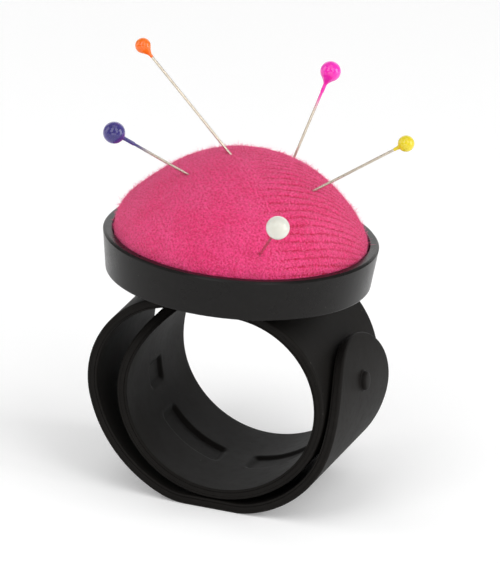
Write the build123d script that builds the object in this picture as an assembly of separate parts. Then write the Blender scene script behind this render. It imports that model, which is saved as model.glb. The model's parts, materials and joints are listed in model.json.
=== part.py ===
"""Wrist pin cushion: a domed cloth cushion in a shallow plastic dish, riveted to a coiled snap band.

The band is a spring steel strip in a soft plastic cover. Its inner arm makes the wrist ring and its
outer arm wraps round that ring. Both arms are built as rigid links, one arc or so each, because a
link is what a joint can move. Five pins stand in the cushion, each free to slide along its shaft.

Frame: +Z up, Y along the axis of the wrist ring, Z through the middle of the dish, and Z = 0 at the
flat foot on the outer arm. Millimetres and degrees.
"""
import os
from math import atan2, cos, degrees, pi, radians, sin, sqrt

from build123d import *

# Dish
dish_diameter = 60.0        # over the rim
dish_height = 9.3
dish_wall = 2.0             # at the rim
dish_draft = 1.1            # the outside is this much smaller in radius at the floor than at the rim
dish_inner_draft = 0.8      # the same inside
dish_floor = 1.8
dish_rim_chamfer = 0.4
boss_width = 9.8            # oblong boss under the floor that sits on the saddle, along X
boss_length = 26.0          # along Y
boss_height = 0.5

# Cushion
cushion_gap = 0.2           # between the cloth and the dish wall
dome_height = 18.1          # above the rim
cloth_thickness = 0.8
hem_width = 8.5             # cloth turned under the base disc
base_disc_thickness = 1.0
thread_diameter = 0.6       # gathering thread round the hem's inner edge
adhesive_gap = 0.5          # between the foam pad and the thread

# Snap band: the arms start at the ends of a flat saddle under the dish
band_width = 40.0
band_thickness = 2.2
saddle_inner = 5.3          # from the dish axis to where the inner arm starts to bend
saddle_outer = 6.4          # from the dish axis to where the outer arm starts to bend
strip_width = 30.0          # spring steel strip inside the cover
strip_thickness = 0.3
link_gap = 0.3              # between two links of an arm
foot_length = 11.0          # flat stretch that the whole object stands on

# Each link is a list of (radius, turn) arcs and (length,) flats along the middle of its thickness
inner_arm = [
    [(21.6, 44.0)],
    [(20.3, 46.0)],
    [(19.8, 40.0)],
    [(23.3, 52.0)],
    [(22.6, 56.0)],
    [(20.6, 49.2)],
    [(18.8, 39.6)],
]
outer_arm = [
    [(18.9, 51.0)],
    [(18.5, 55.0)],
    [(30.0, 51.0)],
    [(14.0, 23.0), (foot_length,), (14.0, 14.0)],
    [(22.0, 59.0)],
    [(27.0, 46.0)],
]

# Shallow moulded windows on the wrist side of the inner arm: link number, and the shares of that
# link's turn where each begins and ends
windows = [(4, 0.03, 0.87), (5, 0.15, 0.94), (6, 0.24, 0.62)]
window_width = 9.0
window_depth = 0.6
window_corner = 1.8

# Rivets and stud
rivet_spacing = 16.0
rivet_diameter = 3.0
rivet_head_diameter = 5.4
rivet_head_thickness = 0.9
rivet_tail_thickness = 0.7
rivet_clearance = 0.05      # between the shank and its holes, on the radius
stud_diameter = 4.2         # button near the outer tip
stud_height = 1.1
stud_shank_diameter = 2.0
stud_from_tip = 10.0        # along the band

# Pins
pin_diameter = 0.6
pin_length = 36.5           # from the point to the middle of the head
pin_point_length = 2.5
pin_point_diameter = 0.08
pin_clearance = 0.05        # between a shaft and its channel, on the radius
pin_collar_length = 1.6     # sleeve of the head down the shaft, past the ball
pin_collar_wall = 0.25
pin_push_in = 2.0           # each pin can go this much deeper
pin_sink = 0.8              # and its channel is this much deeper still

# name, head diameter, where it enters (distance from the dish axis as a share of the cushion's radius
# at the rim, and bearing), which way it leans (bearing, angle from upright) and how deep it stands
pins = [
    ("orange", 3.4, 0.126, 196.0, 186.0, 44.0, 5.8),
    ("indigo", 4.8, 0.496, 222.0, 208.0, 61.0, 17.1),
    ("magenta", 4.5, 0.665, 75.0, 50.0, 22.0, 14.7),
    ("yellow", 3.6, 0.576, -6.5, 8.0, 55.0, 13.0),
    ("white", 5.1, 0.906, -63.5, -62.8, 54.9, 15.0),
]


class Station:
    """A point on the middle line of an arm, with its heading: 0 along the saddle, 90 straight down."""

    def __init__(self, x, z, heading, side):
        self.x, self.z, self.heading, self.side = x, z, heading, side

    def outward(self):
        """The direction from the wrist to the outside of the band."""
        turn = radians(self.heading)
        return self.side * sin(turn), cos(turn)

    def offset(self, height):
        """A point this far outside the middle line."""
        nx, nz = self.outward()
        return self.x + nx * height, self.z + nz * height

    def along_arc(self, radius, turn):
        cx, cz = self.offset(-radius)
        end = Station(cx, cz, self.heading + turn, self.side)
        end.x, end.z = end.offset(radius)
        return end

    def along_flat(self, length):
        turn = radians(self.heading)
        x = self.x + self.side * cos(turn) * length
        return Station(x, self.z - sin(turn) * length, self.heading, self.side)

    def along(self, span):
        return self.along_arc(*span) if len(span) == 2 else self.along_flat(*span)


def walk(start, links):
    """The stations where the links of an arm begin and end."""
    stations = [start]
    for link in links:
        here = stations[-1]
        for span in link:
            here = here.along(span)
        stations.append(here)
    return stations


def foot_drop():
    """Depth of the outer arm's flat foot below the top of the saddle."""
    here = Station(-saddle_outer, -band_thickness / 2, 0.0, -1)
    for link in outer_arm:
        for span in link:
            if len(span) == 1:
                return band_thickness / 2 - here.z
            here = here.along(span)
    raise ValueError("the outer arm has no flat foot")


saddle_top = foot_drop()
dish_bottom = saddle_top + boss_height
rim_z = dish_bottom + dish_height
floor_z = dish_bottom + dish_floor
dish_radius = dish_diameter / 2
dish_inner_radius = dish_radius - dish_wall
cushion_rim_radius = dish_inner_radius - cushion_gap
cushion_foot_radius = cushion_rim_radius - dish_inner_draft
hem_radius = cushion_foot_radius - hem_width
disc_bottom = floor_z + cloth_thickness
disc_top = disc_bottom + base_disc_thickness
dome_radius = (cushion_rim_radius ** 2 + dome_height ** 2) / (2 * dome_height)
dome_centre_z = rim_z + dome_height - dome_radius
rivet_places = [(0.0, -rivet_spacing / 2), (0.0, rivet_spacing / 2)]

inner_stations = walk(Station(saddle_inner, saddle_top - band_thickness / 2, 0.0, 1), inner_arm)
outer_stations = walk(Station(-saddle_outer, saddle_top - band_thickness / 2, 0.0, -1), outer_arm)


def pt(pair):
    """A corner of an X-Z profile as a point in space."""
    return Vector(pair[0], 0, pair[1])


def extrude_y(edges, width):
    """A prism of this width along Y, centred on the X-Z plane."""
    return extrude(make_face(edges), amount=width / 2, dir=(0, 1, 0), both=True)


def revolved(corners):
    """A solid of revolution about Z from straight-sided (radius, z) corners."""
    return revolve(make_face(Polyline(*[pt(c) for c in corners], close=True)), Axis.Z)


def upright(radius, length, top_radius=None):
    """A cylinder, or a cone if it has its own top radius, standing on the origin."""
    stand = (Align.CENTER, Align.CENTER, Align.MIN)
    if top_radius is None:
        return Cylinder(radius, length, align=stand)
    return Cone(radius, top_radius, length, align=stand)


# ---------------------------------------------------------------- dish

def make_dish():
    """Moulded dish with a drafted wall, a boss below and two counterbored rivet holes."""
    foot_radius = dish_radius - dish_draft
    c = dish_rim_chamfer
    shell = revolved([
        (0, dish_bottom), (foot_radius - c, dish_bottom), (foot_radius, dish_bottom + c),
        (dish_radius, rim_z - c), (dish_radius - c, rim_z), (dish_inner_radius, rim_z),
        (dish_inner_radius - dish_inner_draft, floor_z), (0, floor_z),
    ])
    boss = Pos(0, 0, saddle_top) * Rot(0, 0, 90) * SlotOverall(boss_length, boss_width)
    shell += extrude(boss, amount=boss_height + dish_floor / 2)
    for x, y in rivet_places:
        shell -= Pos(x, y, saddle_top - 1) * upright(
            rivet_diameter / 2 + rivet_clearance, dish_floor + boss_height + 2)
        shell -= Pos(x, y, floor_z - rivet_head_thickness) * upright(
            rivet_head_diameter / 2 + rivet_clearance, rivet_head_thickness + 1)
    return shell


# ---------------------------------------------------------------- cushion

def dome_profile(inset, bottom):
    """Half section of the dome, this far inside the cloth's outer face, closed at a flat bottom."""
    rim = cushion_rim_radius - inset
    foot = cushion_foot_radius - inset
    top_radius = dome_radius - inset
    shoulder_z = dome_centre_z + sqrt(top_radius ** 2 - rim ** 2)
    middle = atan2(shoulder_z - dome_centre_z, rim) / 2 + pi / 4
    crown = ThreePointArc(
        pt((rim, shoulder_z)),
        pt((top_radius * cos(middle), dome_centre_z + top_radius * sin(middle))),
        pt((0, dome_centre_z + top_radius)))
    taper = (rim - foot) * (bottom - floor_z) / (rim_z - floor_z)
    sides = Polyline(pt((0, dome_centre_z + top_radius)), pt((0, bottom)),
                     pt((foot + taper, bottom)), pt((rim, shoulder_z)))
    return make_face([crown, *sides.edges()])


def pin_direction(lean_bearing, lean):
    """Unit vector from a pin's point to its head."""
    flat = sin(radians(lean))
    return Vector(flat * cos(radians(lean_bearing)), flat * sin(radians(lean_bearing)), cos(radians(lean)))


def pin_point(pin):
    """Where a pin's point stands inside the cushion."""
    _, _, share, bearing, lean_bearing, lean, depth = pin
    reach = share * cushion_rim_radius
    entry = Vector(reach * cos(radians(bearing)), reach * sin(radians(bearing)),
                   dome_centre_z + sqrt(dome_radius ** 2 - reach ** 2))
    return entry - pin_direction(lean_bearing, lean) * depth


def along_pin(pin, start, shape):
    """A shape built upwards from the origin, set on a pin's line this far from its point."""
    direction = pin_direction(pin[4], pin[5])
    at = pin_point(pin) + direction * start
    return Plane(origin=at, z_dir=direction) * shape


def pin_channels():
    """The channels that the pins stand in, as deep as each pin can be pushed."""
    below = pin_push_in + pin_sink
    radius = pin_diameter / 2 + pin_clearance
    return [along_pin(pin, -below, upright(radius, below + pin_length)) for pin in pins]


def make_cushion_cover():
    """Knitted cover: the dome, the side inside the dish and the hem turned under the base disc."""
    cover = revolve(dome_profile(0, floor_z), Axis.Z)
    cover -= revolve(dome_profile(cloth_thickness, disc_bottom), Axis.Z)
    cover -= Pos(0, 0, floor_z - 1) * upright(hem_radius, cloth_thickness + 2)
    return cover - pin_channels()


def make_cushion_filling():
    """Stuffing that fills the cover above the base disc."""
    return revolve(dome_profile(cloth_thickness, disc_top), Axis.Z) - pin_channels()


def make_base_disc():
    """Card disc that the cover is gathered round."""
    inside = cushion_foot_radius - cloth_thickness
    slope = dish_inner_draft / (rim_z - floor_z)
    return revolved([
        (0, disc_bottom), (inside + slope * cloth_thickness, disc_bottom),
        (inside + slope * (cloth_thickness + base_disc_thickness), disc_top), (0, disc_top),
    ])


def make_gathering_thread():
    """Drawn thread that holds the hem in, lying against its inner edge."""
    return Pos(0, 0, floor_z + thread_diameter / 2) * Torus(
        hem_radius - thread_diameter / 2, thread_diameter / 2)


def make_adhesive_pad():
    """Foam pad, sticky on both faces, that fixes the cushion to the dish floor."""
    return Pos(0, 0, floor_z) * upright(hem_radius - thread_diameter - adhesive_gap, cloth_thickness)


# ---------------------------------------------------------------- pins

def make_pin_shaft(pin):
    """Steel shaft with a sharp point, ending inside its head."""
    point = upright(pin_point_diameter / 2, pin_point_length, pin_diameter / 2)
    stem = Pos(0, 0, pin_point_length) * upright(pin_diameter / 2, pin_length - pin_point_length)
    return along_pin(pin, 0, point + stem)


def make_pin_head(pin):
    """Ball with a short tapered sleeve down the shaft."""
    radius = pin[1] / 2
    collar_start = pin_length - radius - pin_collar_length
    ball = Pos(0, 0, pin_length) * Sphere(radius)
    sleeve = Pos(0, 0, collar_start) * upright(
        pin_diameter / 2 + pin_collar_wall / 2, radius + pin_collar_length, radius * 0.62)
    shaft_hole = upright(pin_diameter / 2, pin_length)
    return along_pin(pin, 0, ball + sleeve - shaft_hole)


# ---------------------------------------------------------------- snap band

def span_prism(start, span, inside, outside, width):
    """One arc or flat of an arm, between two offsets from its middle line."""
    end = start.along(span)
    begin_in, begin_out, end_out, end_in = [
        pt(start.offset(inside)), pt(start.offset(outside)), pt(end.offset(outside)), pt(end.offset(inside))]
    if len(span) == 1:
        return extrude_y(Polyline(begin_in, begin_out, end_out, end_in, close=True), width)
    half = start.along_arc(span[0], span[1] / 2)
    edges = [
        Line(begin_in, begin_out),
        ThreePointArc(begin_out, pt(half.offset(outside)), end_out),
        Line(end_out, end_in),
        ThreePointArc(end_in, pt(half.offset(inside)), begin_in),
    ]
    return extrude_y(edges, width)


def link_prism(start, link, inside, outside, width):
    """All the spans of one link, joined."""
    solid = None
    here = start
    for span in link:
        piece = span_prism(here, span, inside, outside, width)
        solid = piece if solid is None else solid + piece
        here = here.along(span)
    return solid


def station_plane(station, height=0.0):
    """Plane on the band at this offset: its Z points outwards, its X along the band."""
    x, z = station.offset(height)
    nx, nz = station.outward()
    return Plane(origin=(x, 0, z), x_dir=(nz * station.side, 0, -nx * station.side), z_dir=(nx, 0, nz))


def joint_slot(station):
    """Thin slab that parts two links where they meet."""
    return station_plane(station) * Box(link_gap, band_width + 2, 4 * band_thickness)


def tip_station(stations, links, margin):
    """An arm's end less this margin, on the tangent midway along the rounded part."""
    radius, turn = links[-1][-1]
    middle = stations[-2].along_arc(radius, turn - degrees(band_width / 4 / radius))
    return middle.along_flat(band_width / 4 - margin)


def rounded_end(stations, links, width):
    """What is left of a strip this wide when its far end is fully rounded, seen square to the band."""
    deep = 8 * band_thickness
    body = Box(6 * band_width, 2 * band_width, deep, align=(Align.MAX, Align.CENTER, Align.CENTER))
    tool = Pos(-width / 2, 0, 0) * (body + Cylinder(width / 2, deep))
    return station_plane(tip_station(stations, links, (band_width - width) / 2)) * tool


def trim_link(solid, stations, number, links, width):
    """Part a link from its neighbours, and round it if it is the last of its arm."""
    solid -= joint_slot(stations[number])
    if number + 1 < len(links):
        return solid - joint_slot(stations[number + 1])
    return solid & rounded_end(stations, links, width)


def window_tool(station, link, start_share, end_share):
    """Round-cornered slab that sinks a window into the wrist side of a one-arc link."""
    radius, turn = link[0]
    begin = station.along_arc(radius, turn * start_share)
    face = -band_thickness / 2
    span = (radius, turn * (end_share - start_share))
    slab = span_prism(begin, span, face - 1, face + window_depth, window_width)
    corners = slab.edges().filter_by(GeomType.LINE).filter_by(Axis.Y, reverse=True)
    return fillet(corners, window_corner)


def arm_nodes(label, stations, links):
    """The cover and strip of every link of an arm."""
    nodes = {}
    for number, link in enumerate(links):
        start = stations[number]
        cover = link_prism(start, link, -band_thickness / 2, band_thickness / 2, band_width)
        strip = link_prism(start, link, -strip_thickness / 2, strip_thickness / 2, strip_width)
        strip = trim_link(strip, stations, number, links, strip_width)
        cover = trim_link(cover, stations, number, links, band_width)
        for link_number, first, last in windows:
            if label == "inner" and link_number == number + 1:
                cover -= window_tool(start, link, first, last)
        nodes[f"{label}_cover_{number + 1}"] = cover - strip
        nodes[f"{label}_strip_{number + 1}"] = strip
    return nodes


def make_saddle():
    """The flat middle of the band: its cover and its strip, with the rivet holes."""
    length = saddle_inner + saddle_outer
    middle = Pos((saddle_inner - saddle_outer) / 2, 0, saddle_top - band_thickness / 2)
    strip = middle * Box(length, strip_width, strip_thickness)
    cover = middle * Box(length, band_width, band_thickness) - strip
    for station in (inner_stations[0], outer_stations[0]):
        strip -= joint_slot(station)
        cover -= joint_slot(station)
    for x, y in rivet_places:
        hole = Pos(x, y, saddle_top - band_thickness - 1) * upright(
            rivet_diameter / 2 + rivet_clearance, band_thickness + 2)
        strip -= hole
        cover -= hole
    return cover, strip


def make_band_rivets():
    """Two rivets: flush heads in the dish floor, formed tails under the saddle."""
    saddle_bottom = saddle_top - band_thickness
    rivets = []
    for x, y in rivet_places:
        shank = Pos(x, y, saddle_bottom - rivet_tail_thickness / 2) * upright(
            rivet_diameter / 2, floor_z - saddle_bottom)
        head = Pos(x, y, floor_z - rivet_head_thickness) * upright(
            rivet_head_diameter / 2, rivet_head_thickness)
        tail = Pos(x, y, saddle_bottom - rivet_tail_thickness) * upright(
            rivet_head_diameter / 2 - rivet_tail_thickness, rivet_tail_thickness,
            rivet_head_diameter / 2)
        rivets.append(shank + head + tail)
    return Compound(children=rivets)


def stud_station():
    """Where the stud stands on the outer arm's last link."""
    radius, turn = outer_arm[-1][-1]
    return outer_stations[-2].along_arc(radius, turn - degrees(stud_from_tip / radius))


def stud_hole():
    depth = band_thickness / 2 + strip_thickness
    return station_plane(stud_station(), -strip_thickness) * upright(stud_shank_diameter / 2, depth)


def make_tail_stud():
    """Button that pins the strip's end to the cover: a low round head and a shank."""
    surface = station_plane(stud_station(), band_thickness / 2)
    head = upright(stud_diameter / 2, stud_height)
    head = fillet(head.edges().sort_by(Axis.Z)[-1], stud_height * 0.6)
    radius = outer_arm[-1][-1][0] + band_thickness / 2
    sagitta = radius - sqrt(radius ** 2 - (stud_diameter / 2) ** 2)
    seat = Pos(0, 0, -2 * sagitta) * upright(stud_diameter / 2, 2 * sagitta)
    return surface * (seat + head) + stud_hole()


# ---------------------------------------------------------------- the whole part

def make_nodes():
    saddle_cover, saddle_strip = make_saddle()
    nodes = {
        "dish": make_dish(),
        "cushion_cover": make_cushion_cover(),
        "cushion_filling": make_cushion_filling(),
        "base_disc": make_base_disc(),
        "gathering_thread": make_gathering_thread(),
        "adhesive_pad": make_adhesive_pad(),
        "band_rivets": make_band_rivets(),
        "saddle_cover": saddle_cover,
        "saddle_strip": saddle_strip,
    }
    nodes.update(arm_nodes("inner", inner_stations, inner_arm))
    nodes.update(arm_nodes("outer", outer_stations, outer_arm))
    last = len(outer_arm)
    stud = make_tail_stud()
    nodes[f"outer_cover_{last}"] -= stud
    nodes[f"outer_strip_{last}"] -= stud
    nodes["tail_stud"] = stud
    for pin in pins:
        nodes[f"pin_shaft_{pin[0]}"] = make_pin_shaft(pin)
        nodes[f"pin_head_{pin[0]}"] = make_pin_head(pin)
    return nodes


os.makedirs("parts", exist_ok=True)
for name, shape in make_nodes().items():
    export_step(shape, f"parts/{name}.step")
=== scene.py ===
"""Wrist pin cushion: its looks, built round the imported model.

Metres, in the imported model's frame: +Z up, Y along the axis of the wrist ring, Z through the middle of
the dish, and Z = 0 under the band's flat foot. Sizes are written in millimetres, times mm.
"""
import json

import bmesh
import bpy
import numpy as np
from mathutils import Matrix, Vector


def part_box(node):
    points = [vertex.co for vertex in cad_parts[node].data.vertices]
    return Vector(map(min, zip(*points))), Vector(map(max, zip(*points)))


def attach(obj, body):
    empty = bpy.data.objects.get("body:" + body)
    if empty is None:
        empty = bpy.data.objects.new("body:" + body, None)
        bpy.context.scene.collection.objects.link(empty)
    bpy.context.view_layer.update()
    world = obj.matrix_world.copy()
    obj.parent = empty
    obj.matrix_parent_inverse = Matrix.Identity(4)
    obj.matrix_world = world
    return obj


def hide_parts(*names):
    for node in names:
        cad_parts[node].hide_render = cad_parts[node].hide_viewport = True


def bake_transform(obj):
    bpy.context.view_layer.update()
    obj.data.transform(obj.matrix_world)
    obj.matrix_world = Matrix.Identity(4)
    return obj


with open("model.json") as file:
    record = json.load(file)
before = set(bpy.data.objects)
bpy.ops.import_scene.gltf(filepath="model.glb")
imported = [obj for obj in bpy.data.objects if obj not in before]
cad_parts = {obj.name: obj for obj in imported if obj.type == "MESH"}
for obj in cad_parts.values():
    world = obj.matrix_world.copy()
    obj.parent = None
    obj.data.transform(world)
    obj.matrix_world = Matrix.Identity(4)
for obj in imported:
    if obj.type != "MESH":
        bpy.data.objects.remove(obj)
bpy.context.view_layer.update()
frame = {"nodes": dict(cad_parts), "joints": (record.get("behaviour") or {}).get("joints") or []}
mm = 0.001

# ---------------------------------------------------------------- band cover
# The snap band is one strap of soft black plastic, moulded round a spring. It runs from under the dish
# down both sides: the inner arm curls into the wrist ring and the outer arm wraps round it. The strap
# bends all along, so it is made in closed lengths from the middle of one link to the middle of the next.
band_width = 40 * mm
band_thickness = 2.2 * mm
inner_saddle = 5.3 * mm       # flat from the dish axis to the first bend
outer_saddle = 6.4 * mm
# each link: arcs of the strap's middle line as (radius in mm, degrees), and a straight run as (length,)
inner_links = [[(21.6, 44)], [(20.3, 46)], [(19.8, 40)], [(23.3, 52)], [(22.6, 56)], [(20.6, 49.2)],
               [(18.8, 39.6)]]
outer_links = [[(18.9, 51)], [(18.5, 55)], [(30, 51)], [(14, 23), (11,), (14, 14)], [(22, 59)], [(27, 46)]]
# the windows on the wrist side: inner link, and the shares of its length where each begins and ends
window_shares = [(4, 0.03, 0.87), (5, 0.15, 0.94), (6, 0.24, 0.62)]
window_width = 9 * mm
window_corner = 1.8 * mm
window_depth = 0.7 * mm
window_flank = 1.5 * mm
window_zone = 7 * mm          # half the width of the finely gridded stretch that holds the windows
window_zone_points = 57
side_points = 12
ring_step = 0.4 * mm
tip_rings = 60
weld = 0.004 * mm
saddle_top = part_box("saddle_cover")[1].z


class Arm:
    """The middle line of one arm, by distance from the dish axis.

    The heading is 0 along the saddle and grows evenly along each arc, so between two knots it is a straight
    line of distance. A point is its knot plus a chord: the distance, times sin(d/2) / (d/2) for a turn of d,
    along the mean of the two headings.
    """

    def __init__(self, side, saddle, links):
        spans = [[span[0] * mm * np.radians(span[1]), np.radians(span[1])] if len(span) == 2
                 else [span[0] * mm, 0.0] for link in links for span in link]
        table = np.array([[0.0, 0.0], [saddle, 0.0], *spans])
        self.side = side
        self.knots, self.headings = np.cumsum(table, axis=0).T
        chords = self.chord(np.diff(self.knots), self.headings[:-1], self.headings[1:])
        start = np.array([[0.0, saddle_top - band_thickness / 2]])
        self.corners = np.vstack([start, start + np.cumsum(chords, axis=0)])
        link_turns = np.radians([sum(span[1] for span in link if len(span) == 2) for link in links])
        ends = np.cumsum(link_turns)
        self.link_starts = np.interp(ends - link_turns + 1e-9, self.headings, self.knots)
        self.link_lengths = np.diff([*self.link_starts, self.knots[-1]])
        self.middles = np.interp(ends - link_turns / 2, self.headings, self.knots)

    def chord(self, length, begin, end):
        """A chord: length times sin(d/2) / (d/2), along the mean of its begin and end headings."""
        flat = length * np.sinc((end - begin) / (2 * np.pi))
        mean = (begin + end) / 2
        return np.stack([self.side * flat * np.cos(mean), -flat * np.sin(mean)], axis=-1)

    def place(self, along, across, height):
        """Points at these distances along the arm, across it, and outside its middle line."""
        along, across, height = np.broadcast_arrays(along, across, height)
        here = np.interp(along, self.knots, self.headings)
        knot = np.clip(np.searchsorted(self.knots, along, side="right") - 1, 0, len(self.knots) - 2)
        middle = self.corners[knot] + self.chord(along - self.knots[knot], self.headings[knot], here)
        x = middle[..., 0] + self.side * np.sin(here) * height
        z = middle[..., 1] + np.cos(here) * height
        return np.stack([x, across, z], axis=-1)


def smooth_step(value):
    """0 below 0, 1 above 1, and 3v^2 - 2v^3 between."""
    share = np.clip(value, 0, 1)
    return share * share * (3 - 2 * share)


def section(width, face_step, edge):
    """A strap's cross-section as a closed ring of (across, height): outer face, edge, inner face, edge.

    The edge is a list of (inset, height) corners from the outer face to the inner one.
    """
    inset, height = np.array(edge).T
    flat = width / 2 - inset[0]
    face = np.linspace(-flat, flat, 2 * round(flat / face_step) + 1)[1:-1]
    fine = np.linspace(-window_zone, window_zone, window_zone_points)
    coarse = np.linspace(window_zone, width / 2 - inset[-1], side_points)[1:-1]
    under = np.concatenate([-coarse[::-1], fine, coarse])[::-1]
    across = np.concatenate([face, width / 2 - inset, under, (inset - width / 2)[::-1]])
    heights = np.concatenate([face * 0 + height[0], height, under * 0 + height[-1], height[::-1]])
    return across, heights


def corner(out, up, radius, begin, end, count=5):
    """Points of a rounded corner: its middle plus radius (cos a, sin a), between two angles in degrees."""
    angle = np.radians(np.linspace(begin, end, count))
    return [(out + radius * np.cos(a), up + radius * np.sin(a)) for a in angle]


def strap_grid(arm, begin, end, across, heights, tip_radius=None, sink=None):
    """Rings of a strap between two distances along an arm.

    A rounded tip goes on from the middle of its circle: there each ring is turned about that middle by an
    angle b, half of it each way, so along = middle + |across| sin b and across becomes across cos b.
    """
    along = np.linspace(begin, end, round((end - begin) / ring_step) + 1)[:, None] + 0 * across
    wide = across + 0 * along
    if tip_radius:
        turn = np.linspace(0, np.pi / 2, tip_rings + 1)[1:, None]
        along = np.vstack([along, end + np.abs(across) * np.sin(turn)])
        wide = np.vstack([wide, across * np.cos(turn)])
    high = heights + 0 * along
    if sink:
        high = high + sink(along, wide, high)
    return arm.place(along, wide, high)


def grid_piece(name, rings, caps, crease=40):
    """A piece from a grid of closed rings: corner (i, j) joins (i, j + 1), (i + 1, j + 1) and (i + 1, j)."""
    count, size = rings.shape[:2]
    ring, step = np.meshgrid(np.arange(count - 1), np.arange(size), indexing="ij")
    after = (step + 1) % size
    quads = np.stack([ring * size + step, ring * size + after,
                      (ring + 1) * size + after, (ring + 1) * size + step], axis=-1).reshape(-1, 4)
    mesh = bpy.data.meshes.new(name)
    mesh.from_pydata(rings.reshape(-1, 3), [], quads.tolist() + caps)
    return finished_piece(name, mesh, crease)


def solid_from_rings(name, rings):
    """A closed solid from a grid of rings, with a face across each end ring."""
    count, size = rings.shape[:2]
    return grid_piece(name, rings, [list(range(size))[::-1], list(range((count - 1) * size, count * size))])


def finished_piece(name, mesh, crease):
    """Put a mesh in the scene: doubles merged, faces outwards, smooth up to the crease angle."""
    work = bmesh.new()
    work.from_mesh(mesh)
    bmesh.ops.remove_doubles(work, verts=work.verts, dist=weld)
    bmesh.ops.dissolve_degenerate(work, edges=work.edges, dist=weld / 2)
    bmesh.ops.recalc_face_normals(work, faces=work.faces)
    work.to_mesh(mesh)
    work.free()
    mesh.polygons.foreach_set("use_smooth", np.ones(len(mesh.polygons), bool))
    mesh.set_sharp_from_angle(angle=np.radians(crease))
    piece = bpy.data.objects.new(name, mesh)
    bpy.context.scene.collection.objects.link(piece)
    return piece


class Signal:
    """A number that a node gives out. Sums, differences and products of signals add Math nodes."""

    def __init__(self, finish, socket):
        self.finish, self.socket = finish, socket

    def maths(self, operation, *values):
        return self.finish.node("ShaderNodeMath", {"operation": operation}, dict(enumerate(values)))

    def __add__(self, other):
        return self.maths("ADD", self, other)

    def __mul__(self, other):
        return self.maths("MULTIPLY", self, other)

    def __sub__(self, other):
        return self.maths("SUBTRACT", self, other)

    def __rsub__(self, other):
        return self.maths("SUBTRACT", other, self)

    def sine(self):
        return self.maths("SINE", self)

    def size(self):
        return self.maths("ABSOLUTE", self)

    def clear_of(self, low, high):
        """0 below low, 1 above high, and smooth between."""
        settings = {"interpolation_type": "SMOOTHSTEP"}
        sockets = {"Value": self, "From Min": low, "From Max": high}
        return self.finish.node("ShaderNodeMapRange", settings, sockets)

    __radd__, __rmul__ = __add__, __mul__


class Finish:
    """A procedural material. Its constants are set on the shader's own sockets."""

    def __init__(self, name, constants):
        self.material = bpy.data.materials.new(name)
        self.material.use_nodes = True
        self.tree = self.material.node_tree
        self.shader = self.tree.nodes["Principled BSDF"]
        for socket, value in constants.items():
            self.shader.inputs[socket].default_value = value

    def node(self, kind, settings, sockets, output=0):
        """Any node: its settings are set first, then the values or links of its sockets."""
        node = self.tree.nodes.new(kind)
        for name, value in settings.items():
            setattr(node, name, value)
        for name, value in sockets.items():
            if isinstance(value, Signal):
                self.tree.links.new(value.socket, node.inputs[name])
            else:
                node.inputs[name].default_value = value
        return Signal(self, node.outputs[output])

    def here(self):
        """The point on the piece, in metres."""
        return self.node("ShaderNodeTexCoord", {}, {}, "Object")

    def noise(self, place, grain, detail=3, roughness=0.5):
        """Noise with lumps about this many millimetres across."""
        sockets = {"Vector": place, "Scale": 1 / (grain * mm), "Detail": detail, "Roughness": roughness}
        return self.node("ShaderNodeTexNoise", {}, sockets)

    def mixed(self, share, first, second):
        """One colour turning to another as the share goes from 0 to 1."""
        return self.node("ShaderNodeMix", {"data_type": "RGBA"}, {0: share, 6: first, 7: second}, 2)

    def bumps(self, height, depth, strength=1.0):
        """Relief on the shader's normal, this many millimetres from a height of 0 to one of 1."""
        sockets = {"Height": height, "Distance": depth * mm, "Strength": strength}
        self.feed("Normal", self.node("ShaderNodeBump", {}, sockets))

    def feed(self, socket, signal):
        self.tree.links.new(signal.socket, self.shader.inputs[socket])

    def onto(self, piece):
        piece.data.materials.clear()
        piece.data.materials.append(self.material)


def moulded_black(name, deep, worn, gloss, roughness, grain, relief):
    """Black plastic: cloudy wear in its colour and gloss, specks of lint, and its mould's fine grain.

    The grain and its relief are in millimetres. The roughness is the lowest, and the wear adds to it.
    """
    finish = Finish(name, {"Specular IOR Level": gloss})
    here = finish.here()
    cloud = finish.noise(here, 9, 4)
    rub = finish.noise(here, 1.7, 5, 0.6).clear_of(0.45, 0.75)
    lint = finish.noise(here, 0.5, 1).clear_of(0.795, 0.84) * 0.5
    plastic = finish.mixed(cloud * 0.6 + rub * 0.4, deep, worn)
    finish.feed("Base Color", finish.mixed(lint, plastic, lint_grey))
    finish.feed("Roughness", roughness + cloud * 0.12 + rub * 0.06)
    finish.bumps(finish.noise(here, grain, 2) + finish.noise(here, 4, 2) * 2, relief)
    return finish


lint_grey = (0.30, 0.28, 0.24, 1)
edge_radius = 0.55 * mm
corner_radius = 0.22 * mm
lining_inset = 0.02 * mm
half_thick = band_thickness / 2
cover_edge = [
    (0.9 * mm, half_thick),
    *corner(edge_radius, half_thick - edge_radius, edge_radius, 90, 180, 6),
    # parting line of the mould
    (0.0, 0.42 * mm), (0.06 * mm, 0.38 * mm), (0.06 * mm, 0.34 * mm), (0.0, 0.30 * mm),
    (0.0, -0.48 * mm),
    # step where the lining meets the moulding
    (0.16 * mm, -0.54 * mm), (0.16 * mm, -0.64 * mm), (lining_inset, -0.70 * mm),
    *corner(corner_radius + lining_inset, corner_radius - half_thick, corner_radius, 180, 270, 4),
    (0.8 * mm, -half_thick),
]
cover_face_step = 1.0 * mm
cover_section = section(band_width, cover_face_step, cover_edge)
inner = Arm(1, inner_saddle, inner_links)
outer = Arm(-1, outer_saddle, outer_links)


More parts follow.
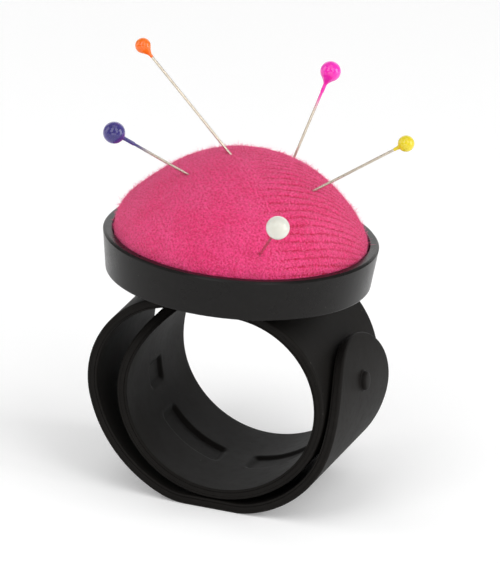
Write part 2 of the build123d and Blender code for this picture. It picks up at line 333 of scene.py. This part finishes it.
def window_sink(along, across, height):
    """How far the wrist side is sunk in the windows.

    A window is a rounded rectangle: outside it the distance to its edge is positive, inside negative. The
    sink rises smoothly from its edge to its full depth one flank inside.
    """
    sink = 0 * along
    for link, first, last in window_shares:
        begin = inner.link_starts[link - 1] + inner.link_lengths[link - 1] * first
        end = inner.link_starts[link - 1] + inner.link_lengths[link - 1] * last
        far = np.abs(along - (begin + end) / 2) - (end - begin) / 2 + window_corner
        wide = np.abs(across) - window_width / 2 + window_corner
        edge = np.hypot(np.maximum(far, 0), np.maximum(wide, 0)) + np.minimum(np.maximum(far, wide), 0)
        sink = np.maximum(sink, window_depth * smooth_step((window_corner - edge) / window_flank))
    return np.where(height < -0.9 * half_thick, sink, 0)


def strap_lengths(label, arm, ring, tip_radius, part, slot, finish, sink=None):
    """One arm in closed lengths, each spanning one joint, and the last with its rounded tip.

    Length k runs from the middle of link k - 1, or from the dish axis, to the middle of link k.
    """
    tip_middle = arm.knots[-1] - band_width / 2
    seams = [0.0, *arm.middles]
    for k in range(len(arm.middles)):
        last = k + 1 == len(arm.middles)
        end = tip_middle if last else seams[k + 1]
        begin = min(seams[k], end - 2 * ring_step)
        rings = strap_grid(arm, begin, end, *ring, tip_radius if last else None, sink)
        piece = solid_from_rings(f"{label}_{slot}_length_{k + 1}", rings)
        finish.onto(piece)
        bend_from = arm.knots[1] if k == 0 else seams[k]
        arm.place(bend_from, 0, 0).tolist()
        arm.place(seams[k + 1], 0, 0).tolist()
        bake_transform(piece)
        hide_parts(f"{label}_{part}_{k + 1}")


band_black = moulded_black("soft_black_plastic", (0.0066, 0.0059, 0.0053, 1), (0.0125, 0.0113, 0.0102, 1),
                           0.06, 0.50, 0.35, 0.012)
for label, arm, sink in (("inner", inner, window_sink), ("outer", outer, None)):
    strap_lengths(label, arm, cover_section, band_width / 2, "cover", "band_cover", band_black, sink)
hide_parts("saddle_cover")

# ---------------------------------------------------------------- spring strip
# The spring is a thin strip of hardened steel inside the cover, its ends rounded like the cover's. It is
# what snaps the band shut. The cover is moulded round it, so none of it shows.
strip_width = 30 * mm
strip_half = 0.15 * mm
strip_bevel = 0.05 * mm
strip_face_step = 3.0 * mm
strip_section = section(strip_width, strip_face_step, [
    (strip_bevel, strip_half), (0, strip_half - strip_bevel), (0, strip_bevel - strip_half),
    (strip_bevel, -strip_half)])


def drawn_steel(name, colour, tint, roughness):
    """Drawn or rolled steel: fine uneven gloss and a breath of tint."""
    finish = Finish(name, {"Metallic": 1.0})
    here = finish.here()
    cloud = finish.noise(here, 2.5, 4)
    finish.feed("Base Color", finish.mixed(cloud, colour, tint))
    finish.feed("Roughness", roughness + cloud * 0.15)
    finish.bumps(finish.noise(here, 0.12, 2), 0.004)
    return finish


spring_steel = drawn_steel("spring_steel", (0.32, 0.33, 0.35, 1), (0.24, 0.27, 0.33, 1), 0.25)
for label, arm in (("inner", inner), ("outer", outer)):
    strap_lengths(label, arm, strip_section, strip_width / 2, "strip", "spring_steel", spring_steel)
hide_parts("saddle_strip")

# ---------------------------------------------------------------- tail stud
# A low round button of the same plastic stands near the outer tip. It pins the end of the spring to the
# cover, and it is pressed in from outside.
stud_from_tip = 10 * mm
stud_radius = 2.1 * mm
stud_height = 1.1 * mm
stud_round = 0.6 * mm
stud_root = 0.5 * mm          # how deep it goes into the cover
stud_flange = 0.35 * mm       # the cover is pushed up round it this far out
stud_crown = 0.05 * mm


def turned(name, profile, foot, axis, steps=48, crease=40):
    """A solid of revolution: each (radius, height) corner carried round the axis, closed at both poles."""
    axis = np.array(axis) / np.linalg.norm(axis)
    side = np.cross(axis, [0, 0, 1] if abs(axis[2]) < 0.9 else [0, 1, 0])
    side = side / np.linalg.norm(side)
    radius, height = np.array(profile).T
    angle = np.linspace(0, 2 * np.pi, steps, endpoint=False)
    spoke = np.cos(angle)[:, None] * side + np.sin(angle)[:, None] * np.cross(axis, side)
    rings = np.array(foot) + radius[:, None, None] * spoke + height[:, None, None] * axis
    return grid_piece(name, rings, [], crease)


stud_at = outer.knots[-1] - stud_from_tip
stud_foot = outer.place(stud_at, 0, half_thick)
stud_axis = outer.place(stud_at, 0, 2 * half_thick) - stud_foot
stud = turned("tail_stud_button", [
    (0, -stud_root), (stud_radius, -stud_root), (stud_radius + stud_flange, 0.02 * mm),
    (stud_radius, 0.18 * mm),
    *corner(stud_radius - stud_round, stud_height - stud_round, stud_round, 0, 80),
    (stud_radius * 0.4, stud_height + 0.6 * stud_crown), (0, stud_height + stud_crown),
], stud_foot, stud_axis)
band_black.onto(stud)
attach(stud, f"outer_link_{len(outer_links)}")
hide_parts("tail_stud")

# ---------------------------------------------------------------- dish
# A shallow dish of hard black plastic, injection moulded, with a drafted wall and a flat rim. An oblong
# boss under its floor sits on the saddle of the band.
dish_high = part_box("dish")[1]
dish_radius = dish_high.x
rim_top = dish_high.z
wall = 2.0 * mm
draft = 1.1 * mm
inner_draft = 0.8 * mm
boss_height = 0.5 * mm
floor_thickness = 1.8 * mm
dish_foot = saddle_top + boss_height
dish_floor = dish_foot + floor_thickness
lip = 0.2 * mm
bevel = 0.5 * mm
heel = 0.5 * mm
dish_steps = 192
dish_crease = 25
foot_radius = dish_radius - draft
dish = turned("moulded_dish", [
    (0, dish_foot), *corner(foot_radius - heel, dish_foot + heel, heel, -90, 0),
    (dish_radius, rim_top - bevel), (dish_radius - 0.7 * bevel, rim_top - 0.08 * mm),
    (dish_radius - bevel, rim_top),
    *corner(dish_radius - wall + lip, rim_top - lip, lip, 90, 180),
    (dish_radius - wall - inner_draft, dish_floor), (0, dish_floor),
], (0, 0, 0), (0, 0, 1), dish_steps, dish_crease)
dish_black = moulded_black("hard_black_plastic", (0.0050, 0.0044, 0.0041, 1), (0.009, 0.0082, 0.0076, 1),
                           0.17, 0.22, 0.8, 0.006)
dish_black.onto(dish)
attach(dish, "holder")
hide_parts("dish")
boss_radius = 4.9 * mm
boss_run = 8.1 * mm
boss_bevel = 0.15 * mm
boss_sink = 0.2 * mm          # how far its top goes into the floor
boss_turn = np.linspace(0, 2 * np.pi, 96, endpoint=False)


def boss_outline(inset, height):
    """An oblong: a circle whose two halves are pulled apart along Y by the boss's straight run."""
    x = (boss_radius - inset) * np.cos(boss_turn)
    y = (boss_radius - inset) * np.sin(boss_turn) + boss_run * np.sign(np.sin(boss_turn))
    return np.stack([x, y, 0 * x + height], axis=-1)


boss = solid_from_rings("dish_boss", np.stack([
    boss_outline(boss_bevel, saddle_top), boss_outline(0, saddle_top + boss_bevel),
    boss_outline(0, dish_foot + boss_sink)]))
dish_black.onto(boss)
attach(boss, "holder")

# ---------------------------------------------------------------- rivets
# Two nickel-plated rivets hold the dish to the band. Their heads lie flush in the dish floor, and their
# tails are formed over under the saddle.
nickel = drawn_steel("nickel_plate", (0.62, 0.60, 0.56, 1), (0.50, 0.48, 0.45, 1), 0.22)
nickel.onto(frame["nodes"]["band_rivets"])

# ---------------------------------------------------------------- cushion
# A cover of brushed pink knit is stuffed and gathered over a card disc, and glued into the dish. Its
# wales run across the dome like lines of longitude, plain on one side and brushed over on the other.
cloth_low, cloth_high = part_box("cushion_cover")
dome_top = cloth_high.z
rim_radius = dish_radius - wall - 0.2 * mm
dome_height = dome_top - rim_top
dome_radius = (rim_radius ** 2 + dome_height ** 2) / (2 * dome_height)
dome_middle = np.array([0, 0, dome_top - dome_radius])
wale_pitch = 1.8 * mm
wale_heading = np.radians(38)
wale_depth = 0.2 * mm
wale_level = 0.65             # the share of a wale's height that is level with the cloth
brushed_share = 0.08          # how much of the relief the brushing leaves
plain_slope = (0.9927, 0.6282)    # the wales come up towards +X and +Y, in this mixture of the two
plain_start = -5 * mm
plain_width = 14 * mm
hem = 1.2 * mm
cover_slack = 0.1 * mm        # the cover starts this much small, and the stuffing fills it out
voxel = 1.25 * mm
most_swell = 0.8 * mm
bulge = 1.2 * mm
bulge_height = 5 * mm
bulge_spread = 4 * mm
top_lift = 0.6 * mm
dimple_depth = 0.3 * mm
dimple_radius = 1.0 * mm


def dome_profile(inset):
    """Half section of the stuffed cushion: flat foot, rounded hem, drafted side, and the arc of the dome."""
    side_foot = rim_radius - inner_draft - inset
    rim = rim_radius - inset
    top = dome_radius - inset
    shoulder = np.arcsin(min(1.0, rim / top))
    polar = np.linspace(shoulder, 0, 40)
    foot = cloth_low.z + inset
    return [(0, foot), *corner(side_foot - hem, foot + hem, hem, -90, 0),
            *[(top * np.sin(p), dome_middle[2] + top * np.cos(p)) for p in polar]]


def applied(piece):
    """The piece with its modifiers worked into its mesh."""
    graph = bpy.context.evaluated_depsgraph_get()
    mesh = bpy.data.meshes.new_from_object(piece.evaluated_get(graph))
    piece.modifiers.clear()
    piece.data = mesh
    return piece


def coordinates(mesh):
    """The points of a mesh, one to a row."""
    flat = np.empty(len(mesh.vertices) * 3, np.float32)
    mesh.vertices.foreach_get("co", flat)
    return flat.reshape(-1, 3).astype(float)


def put_coordinates(mesh, points):
    """Move the points of a mesh to these places, one to a row."""
    mesh.vertices.foreach_set("co", points.astype(np.float32).ravel())
    mesh.update()


def stuffed(piece, held_below, most):
    """Blow the cover up as stuffing does: even quads, then cloth under pressure, with a cap on each move.

    It is done ten times life size, because cloth settings suit things of half a metre. What is below the
    rim is held, as the dish holds it.
    """
    grow = 10
    frames = 20
    put_coordinates(piece.data, coordinates(piece.data) * grow)
    even = piece.modifiers.new("even", "REMESH")
    even.mode, even.voxel_size = "VOXEL", voxel * grow
    applied(piece)
    before = coordinates(piece.data)
    held = piece.vertex_groups.new(name="held")
    low = np.flatnonzero(before[:, 2] < held_below * grow)
    held.add(low.tolist(), 1.0, "REPLACE")
    cloth = piece.modifiers.new("cloth", "CLOTH")
    cloth.settings.use_pressure = True
    cloth.settings.uniform_pressure_force = 4
    cloth.settings.effector_weights.gravity = 0
    cloth.settings.vertex_group_mass = "held"
    cloth.settings.quality = 6
    for step in range(1, frames + 1):
        bpy.context.scene.frame_set(step)
    applied(piece)
    bpy.context.scene.frame_set(1)
    move = coordinates(piece.data) - before
    size = np.linalg.norm(move, axis=1, keepdims=True)
    move *= np.minimum(1, most * grow / np.maximum(size, 1e-9))
    put_coordinates(piece.data, (before + move) / grow)
    return piece


cushion = turned("knit_cushion", dome_profile(cover_slack), (0, 0, 0), (0, 0, 1), 128, 180)
stuffed(cushion, rim_top, most_swell)
smooth = cushion.modifiers.new("smooth", "SUBSURF")
smooth.levels = smooth.render_levels = 2
applied(cushion)


def fabric_place(points):
    """Where a point lies on the cloth, along the wales and across them, in metres.

    With ahead and aside measured along and across the wales' heading, and r the distance from the dome's
    middle, they are the dome's radius times asin(ahead / r) and times atan2(aside, z).
    """
    x, y, z = (points - dome_middle).T
    ahead = x * np.cos(wale_heading) + y * np.sin(wale_heading)
    aside = y * np.cos(wale_heading) - x * np.sin(wale_heading)
    return dome_radius * np.arcsin(ahead / np.hypot(np.hypot(x, y), z)), dome_radius * np.arctan2(aside, z)


def wale_drift(along, across):
    """How far the wales wander: a slow sine of both coordinates, and a small one that is itself bent."""
    slow = np.sin(along / (9 * mm) + across / (7 * mm))
    small = np.sin(along / (2.3 * mm) + np.sin(across / (1.9 * mm)) * 2)
    return 0.4 * mm * slow + 0.14 * mm * small


def pin_entry(colour):
    """Where a pin's line meets the dome: the root of |point + t axis| = dome radius nearest its head."""
    axis, centre = pin_lines[colour]
    start = centre - dome_middle
    along = start @ axis
    return centre - axis * (along - np.sqrt(along ** 2 - start @ start + dome_radius ** 2))


head_radii = {"orange": 1.7 * mm, "indigo": 2.4 * mm, "magenta": 2.25 * mm, "yellow": 1.8 * mm,
              "white": 2.55 * mm}
pin_lines = {}
for colour, radius in head_radii.items():
    axis = np.array(next(j["axis"] for j in frame["joints"] if j["name"] == f"pull_{colour}"))
    head_low, head_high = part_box(f"pin_head_{colour}")
    pin_lines[colour] = (axis, np.where(axis > 0, np.array(head_high) - radius, np.array(head_low) + radius))

points = coordinates(cushion.data)
# the stuffing bulges over the rim on the left, where it was packed tighter, and stands a little at the top
spoke = points[:, :2] / np.maximum(np.linalg.norm(points[:, :2], axis=1, keepdims=True), mm)
packed = (0.5 - 0.5 * spoke[:, 0]) * np.exp(-((points[:, 2] - rim_top - bulge_height) / bulge_spread) ** 2)
points[:, :2] += spoke * packed[:, None] * bulge
points[:, 2] += top_lift * smooth_step((points[:, 2] - rim_top - 6 * mm) / (11 * mm))
put_coordinates(cushion.data, points)
normals = np.empty(len(points) * 3, np.float32)
cushion.data.vertex_normals.foreach_get("vector", normals)
normals = normals.reshape(-1, 3)
along_wale, across_wale = fabric_place(points)
drift = wale_drift(along_wale, across_wale)
fade = np.sin(along_wale / (3.1 * mm) + np.sin(across_wale / (4.3 * mm)) * 1.7)
plain = smooth_step((points[:, :2] @ plain_slope - plain_start) / plain_width + 0.12 * fade)
wale = np.abs(np.sin(np.pi * (across_wale + drift) / wale_pitch))
on_dome = smooth_step((points[:, 2] - rim_top) / mm + 0.6)
lift = wale_depth * (wale - wale_level) * (brushed_share + (1 - brushed_share) * plain) * on_dome
for colour in head_radii:
    away = np.linalg.norm(points - pin_entry(colour), axis=1)
    lift = lift - dimple_depth * np.exp(-(away / dimple_radius) ** 2)
points = points + normals * lift[:, None]
put_coordinates(cushion.data, points)

loops = np.empty(len(cushion.data.loops), np.int32)
cushion.data.loops.foreach_get("vertex_index", loops)
knit_map = cushion.data.uv_layers.new(name="knit")
flat_cloth = np.stack([along_wale, across_wale + drift], axis=1)[loops] / mm
knit_map.data.foreach_set("uv", flat_cloth.astype(np.float32).ravel())
worn = cushion.data.attributes.new("plain_side", "FLOAT", "POINT")
worn.data.foreach_set("value", plain.astype(np.float32))
cushion.data.polygons.foreach_set("use_smooth", np.ones(len(cushion.data.polygons), bool))


def brushed_knit(name):
    """Brushed knit: stitches in rows along the wales, painted deeper red as shade in the valleys between the
    wales and between the stitches, broken up by fluff.

    The knit map gives millimetres of cloth. A valley lies where sin(pi across / pitch) is near 0.
    """
    finish = Finish(name, {"Sheen Weight": 0.25, "Sheen Roughness": 0.45, "Sheen Tint": (1.0, 0.62, 0.78, 1),
                           "Specular IOR Level": 0.15})
    place = finish.node("ShaderNodeUVMap", {"uv_map": "knit"}, {})
    along = finish.node("ShaderNodeSeparateXYZ", {}, {0: place}, "X")
    across = finish.node("ShaderNodeSeparateXYZ", {}, {0: place}, "Y")
    show = finish.node("ShaderNodeAttribute", {"attribute_name": "plain_side"}, {}, "Fac")
    pitch = wale_pitch / mm
    stitch_pitch = 0.86
    valley = 1 - (across * (np.pi / pitch)).sine().size()
    lean = along * (2 * np.pi / stitch_pitch) + (across * (2 * np.pi / pitch)).sine() * 1.2
    stitch = lean.sine() * (across * (2 * np.pi / pitch)).sine() * 0.5 + 0.5
    fluff = finish.noise(finish.here(), 0.42, 4, 0.7).clear_of(0.34, 0.64)
    patch = finish.noise(finish.here(), 6, 3)
    # painted shade: deeper red in the valleys between the wales on the plain side, less where fluff lies
    # over them
    deep = valley.clear_of(0.3, 1.0) * show * (1 - fluff * 0.6) * 0.85
    # painted shade in the valleys and between the stitches, plus a darker mottle where the fluff is thin
    shade_and_mottle = (deep + stitch * 0.25 + (1 - fluff) * 0.7).clear_of(0.12, 1.15)
    bright = finish.mixed(patch.clear_of(0.3, 0.7), (0.89, 0.054, 0.220, 1), (0.93, 0.080, 0.27, 1))
    # the deep red is the colour of the painted shade
    finish.feed("Base Color", finish.mixed(shade_and_mottle, bright, (0.57, 0.010, 0.065, 1)))
    finish.feed("Roughness", 0.8 + fluff * 0.2)
    finish.bumps(fluff * 0.9 - stitch * 0.5 - valley * 0.3, 0.16)
    return finish


pink_knit = brushed_knit("brushed_pink_knit")
pink_knit.onto(cushion)
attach(cushion, "holder")
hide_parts("cushion_cover")

# ---------------------------------------------------------------- nap
# The knit is brushed until it stands in a fine fuzz, seen best against the light at the dome's edge. Each
# fibre is a thin tapered hair rooted in the cloth.
nap_count = 14000
hair_spread = 0.95            # how far a hair strays from standing straight out, where 0 is not at all
hair_curl = 0.35
hair_length = 0.115 * mm      # the scale of a gamma spread of shape 4, so four times this on average
hair_radius = 0.026 * mm
hair_root = 0.05 * mm
grown = np.flatnonzero(points[:, 2] > rim_top - 0.3 * mm)


def hairs(name, root, lie, curl, length, thick):
    """Three-sided hairs: ring j stands at root + length (t lie + t^2 curl), its radius thinning with t."""
    side = np.cross(lie, [0.3, 0.5, 0.81])
    side = side / np.linalg.norm(side, axis=1, keepdims=True)
    other = np.cross(lie, side)
    rings = []
    for t, taper in ((0.0, 1.0), (0.55, 0.8), (1.0, 0.3)):
        middle = root + length * (t * lie + t * t * curl)
        for angle in np.radians([0, 120, 240]):
            rings.append(middle + thick * taper * (np.cos(angle) * side + np.sin(angle) * other))
    points = np.stack(rings, axis=1)
    first = np.arange(len(root))[:, None] * 9
    quads = [[r + a, r + (a + 1) % 3, r + 3 + (a + 1) % 3, r + 3 + a] for r in (0, 3) for a in range(3)]
    caps = [[2, 1, 0], [6, 7, 8]]
    faces = [face for loop in quads + caps for face in (first + loop).tolist()]
    mesh = bpy.data.meshes.new(name)
    mesh.from_pydata(points.reshape(-1, 3), [], faces)
    mesh.polygons.foreach_set("use_smooth", np.ones(len(mesh.polygons), bool))
    piece = bpy.data.objects.new(name, mesh)
    bpy.context.scene.collection.objects.link(piece)
    return piece


def fibre_pink(name):
    """Dyed fibre: a little brighter than the cloth, varying from hair to hair."""
    finish = Finish(name, {"Sheen Weight": 0.3, "Specular IOR Level": 0.2})
    shade = finish.noise(finish.here(), 0.5, 2)
    finish.feed("Base Color", finish.mixed(shade, (0.90, 0.07, 0.26, 1), (0.98, 0.20, 0.42, 1)))
    finish.feed("Roughness", 0.6 + shade * 0.3)
    return finish


nap_pink = fibre_pink("pink_fibre")
for layer in (1, 2):
    draw = np.random.default_rng(layer)
    roots = draw.choice(grown, nap_count)
    lie = normals[roots] + hair_spread * draw.normal(size=(nap_count, 3))
    lie = lie / np.linalg.norm(lie, axis=1, keepdims=True)
    curl = draw.normal(size=(nap_count, 3)) * hair_curl
    length = draw.gamma(4.0, hair_length, nap_count)[:, None]
    thick = hair_radius * draw.uniform(0.7, 1.3, nap_count)[:, None]
    root = points[roots] - normals[roots] * hair_root
    nap = hairs(f"cushion_nap_{layer}", root, lie, curl, length, thick)
    nap_pink.onto(nap)
    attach(nap, "holder")

# ---------------------------------------------------------------- inside the cushion
# Under the cover are a ball of white stuffing, a disc of grey card, the thread that draws the hem in, and
# a foam pad that sticks the cushion to the dish.


def soft_inside(name, pale, deep, grain, relief):
    """A matt material mottled between two shades, with relief of the same grain."""
    finish = Finish(name, {"Specular IOR Level": 0.2})
    mottle = finish.noise(finish.here(), grain, 5, 0.6)
    finish.feed("Base Color", finish.mixed(mottle, pale, deep))
    finish.feed("Roughness", 0.8 + mottle * 0.2)
    finish.bumps(mottle, relief)
    return finish


for node, pale, deep, grain, relief in [
    ("cushion_filling", (0.85, 0.84, 0.80, 1), (0.70, 0.68, 0.62, 1), 0.5, 0.3),
    ("base_disc", (0.36, 0.33, 0.29, 1), (0.27, 0.24, 0.20, 1), 0.3, 0.03),
    ("gathering_thread", (0.75, 0.10, 0.25, 1), (0.60, 0.05, 0.16, 1), 0.15, 0.05),
    ("adhesive_pad", (0.80, 0.79, 0.75, 1), (0.66, 0.65, 0.60, 1), 0.25, 0.06),
]:
    soft_inside(f"{node}_material", pale, deep, grain, relief).onto(frame["nodes"][node])

# ---------------------------------------------------------------- pins
# Five dressmaker's pins stand in the cushion. Each is a length of plated steel wire ground to a point, and
# its head is a bead of glossy plastic moulded on, with a neck that runs thinly down the wire.
pin_radius = 0.3 * mm
pin_length = 36.5 * mm
point_length = 2.5 * mm
bead_steps = 48
wire_steps = 24
wire_rings = 40
# neck angle in degrees, sleeve radius, sleeve length and how far the colour runs down the wire, in mm
necks = {"orange": (50, 0.36, 0.3, 0.4), "indigo": (22, 0.42, 2.2, 5.2), "magenta": (42, 0.40, 1.6, 5.0),
         "yellow": (30, 0.38, 0.5, 0.6), "white": (26, 0.38, 0.8, 1.0)}
# each head's own colour, then the brighter colour painted towards its edge as sheen
bead_colours = {
    "orange": ((0.84, 0.13, 0.0, 1), (0.90, 0.20, 0.0, 1)),
    "indigo": ((0.028, 0.020, 0.15, 1), (0.07, 0.05, 0.26, 1)),
    "magenta": ((0.80, 0.012, 0.40, 1), (0.88, 0.05, 0.56, 1)),
    "yellow": ((0.68, 0.54, 0.006, 1), (0.76, 0.64, 0.02, 1)),
    "white": ((0.63, 0.625, 0.55, 1), (0.69, 0.69, 0.63, 1)),
}


def bead_profile(radius, neck_angle, sleeve, sleeve_length):
    """Ball, then a fairing that leaves it at the neck angle and curves into a thin sleeve round the wire.

    Heights run from the middle of the ball towards the point, so they are negative. The fairing is the
    quadratic curve whose control point is where the ball's tangent meets the sleeve's line.
    """
    neck = np.radians(neck_angle)
    ball = [(radius * np.sin(a), radius * np.cos(a)) for a in np.linspace(0, np.pi - neck, 40)]
    leave = np.array([radius * np.sin(neck), -radius * np.cos(neck)])
    meet = np.array([sleeve, leave[1] - (leave[0] - sleeve) * np.tan(neck)])
    settle = meet - [0, 0.5 * mm]
    share = np.linspace(0, 1, 10)[1:, None]
    fairing = (1 - share) ** 2 * leave + 2 * share * (1 - share) * meet + share ** 2 * settle
    end = settle[1] - sleeve_length
    return [*ball, *map(tuple, fairing), (sleeve, end), (pin_radius, end - 0.2 * mm), (0, end - 0.2 * mm)]


def bead(name, deep, bright):
    """Pearly plastic under a clear coat: the deep colour turns to the bright one towards the edge, a painted
    sheen where the surface turns away from the camera.
    """
    finish = Finish(name, {"Specular IOR Level": 0.2, "Coat Weight": 0.9, "Coat Roughness": 0.03,
                           "Subsurface Weight": 0.15, "Subsurface Radius": (0.8 * mm, 0.5 * mm, 0.4 * mm),
                           "Subsurface Scale": 1.0})
    # painted sheen: the colour brightens as the surface turns edge-on to the camera
    facing = finish.node("ShaderNodeLayerWeight", {}, {"Blend": 0.35}, "Facing")
    swirl = finish.noise(finish.here(), 1.4, 3)
    finish.feed("Base Color", finish.mixed((facing + swirl * 0.3).clear_of(0.1, 0.9), deep, bright))
    finish.feed("Roughness", 0.4 + swirl * 0.12)
    finish.bumps(swirl, 0.008)
    return finish


def coated_steel(name, coat, run):
    """Plated wire whose end by the head carries a run of the head's colour, thinning out down the wire."""
    finish = Finish(name, {})
    down = finish.node("ShaderNodeAttribute", {"attribute_name": "from_head"}, {}, "Fac")
    cloud = finish.noise(finish.here(), 1.5, 3)
    bare = (down + cloud * 0.8 - 0.4).clear_of(run * 0.35, run * 1.15)
    steel = finish.mixed(cloud, (0.66, 0.59, 0.49, 1), (0.50, 0.44, 0.36, 1))
    finish.feed("Base Color", finish.mixed(bare, coat, steel))
    finish.feed("Metallic", bare)
    finish.feed("Roughness", 0.22 + cloud * 0.12)
    finish.bumps(finish.noise(finish.here(), 0.1, 2), 0.003)
    return finish


for colour, radius in head_radii.items():
    axis, centre = pin_lines[colour]
    neck_angle, sleeve, sleeve_length, run = necks[colour]
    deep, bright = bead_colours[colour]
    profile = bead_profile(radius, neck_angle, sleeve * mm, sleeve_length * mm)
    head = turned(f"pin_bead_{colour}", profile, centre, axis, bead_steps, 60)
    bead(f"bead_{colour}", deep, bright).onto(head)
    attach(head, f"pin_{colour}")
    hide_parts(f"pin_head_{colour}")
    shaft = np.linspace(-pin_length + point_length, 0, wire_rings)
    wire = turned(f"pin_wire_{colour}", [
        (0, -pin_length), (0.04 * mm, -pin_length + 0.02 * mm),
        (0.2 * mm, -pin_length + 0.55 * point_length),
        *[(pin_radius, height) for height in shaft], (0, 0)], centre, axis, wire_steps, 60)
    from_head = np.linalg.norm(coordinates(wire.data) - centre, axis=1) - radius
    down = wire.data.attributes.new("from_head", "FLOAT", "POINT")
    down.data.foreach_set("value", (from_head / mm).astype(np.float32))
    coated_steel(f"wire_{colour}", deep, sleeve_length + run).onto(wire)
    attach(wire, f"pin_{colour}")
    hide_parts(f"pin_shaft_{colour}")

# ---------------------------------------------------------------- floor, light and camera
# A plain white table, two upright soft boxes before the cushion, others low in front, at both sides and
# above, a pale screen behind, and a camera that looks down at it from the right of its front.
floor_mesh = bpy.data.meshes.new("floor")
reach = 8.0
corners = [(-reach, -reach, 0), (reach, -reach, 0), (reach, reach, 0), (-reach, reach, 0)]
floor_mesh.from_pydata(corners, [], [(0, 1, 2, 3)])
floor = bpy.data.objects.new("floor", floor_mesh)
bpy.context.scene.collection.objects.link(floor)
paper = Finish("white_paper", {"Roughness": 0.9, "Emission Color": (1, 1, 1, 1), "Emission Strength": 0.16})
paper_cloud = paper.noise(paper.here(), 300, 2)
paper.feed("Base Color", paper.mixed(paper_cloud, (0.90, 0.90, 0.90, 1), (0.93, 0.93, 0.93, 1)))
paper.onto(floor)

camera_azimuth, camera_elevation, camera_roll = np.radians([16.44, 19.64, 4.66])
camera_distance = 2.79
focal_length = 821.5          # for a sensor of 36 mm
aim = np.array([1.74, 3.66, 44.59]) * mm


def towards(azimuth, elevation):
    """Unit vector to a place at this azimuth, from the front round to the right, and elevation."""
    level = np.cos(elevation)
    return np.array([np.sin(azimuth) * level, -np.cos(azimuth) * level, np.sin(elevation)])


def soft_box(name, azimuth, elevation, distance, width, height, power):
    """A rectangular light that faces the object."""
    lamp = bpy.data.lights.new(name, "AREA")
    lamp.shape, lamp.size, lamp.size_y, lamp.energy = "RECTANGLE", width, height, power
    box = bpy.data.objects.new(name, lamp)
    back = towards(np.radians(azimuth), np.radians(elevation))
    box.location = aim + back * distance
    box.rotation_euler = Vector(back).to_track_quat("Z", "Y").to_euler()
    bpy.context.scene.collection.objects.link(box)


# azimuth and elevation in degrees, distance, width and height in metres, and power in watts
for name, *settings in [
    ("left_box", -16, 42, 1.1, 0.45, 0.9, 3.4),
    ("right_box", 48, 42, 1.1, 0.45, 0.9, 3.3),
    ("low_front_box", 16, 5, 1.5, 1.4, 0.45, 4.3),
    ("far_left_box", -75, 22, 1.2, 0.6, 0.9, 3.0),
    ("far_right_box", 95, 18, 1.2, 0.6, 0.9, 7.0),
    ("top_box", 16, 85, 1.2, 0.9, 0.7, 2.2),
    ("back_screen", 196, 20, 1.6, 2.4, 0.9, 8.0),
]:
    soft_box(name, *settings)

sky = bpy.data.worlds.new("studio")
sky.use_nodes = True
sky.node_tree.nodes["Background"].inputs["Color"].default_value = (1, 1, 1, 1)
sky.node_tree.nodes["Background"].inputs["Strength"].default_value = 0.26
bpy.context.scene.world = sky
bpy.context.scene.view_settings.view_transform = "Standard"

lens = bpy.data.cameras.new("camera")
lens.sensor_fit, lens.sensor_width, lens.sensor_height, lens.lens = "VERTICAL", 36, 36, focal_length
camera = bpy.data.objects.new("camera", lens)
back = towards(camera_azimuth, camera_elevation)
right = np.array([np.cos(camera_azimuth), np.sin(camera_azimuth), 0])
up = np.cross(back, right)
turned_right = np.cos(camera_roll) * right + np.sin(camera_roll) * up
turned_up = np.cos(camera_roll) * up - np.sin(camera_roll) * right
stand = aim + back * camera_distance
axes = np.stack([turned_right, turned_up, back, stand], axis=1)
camera.matrix_world = Matrix(axes.tolist() + [[0, 0, 0, 1]])
bpy.context.scene.collection.objects.link(camera)
bpy.context.scene.camera = camera
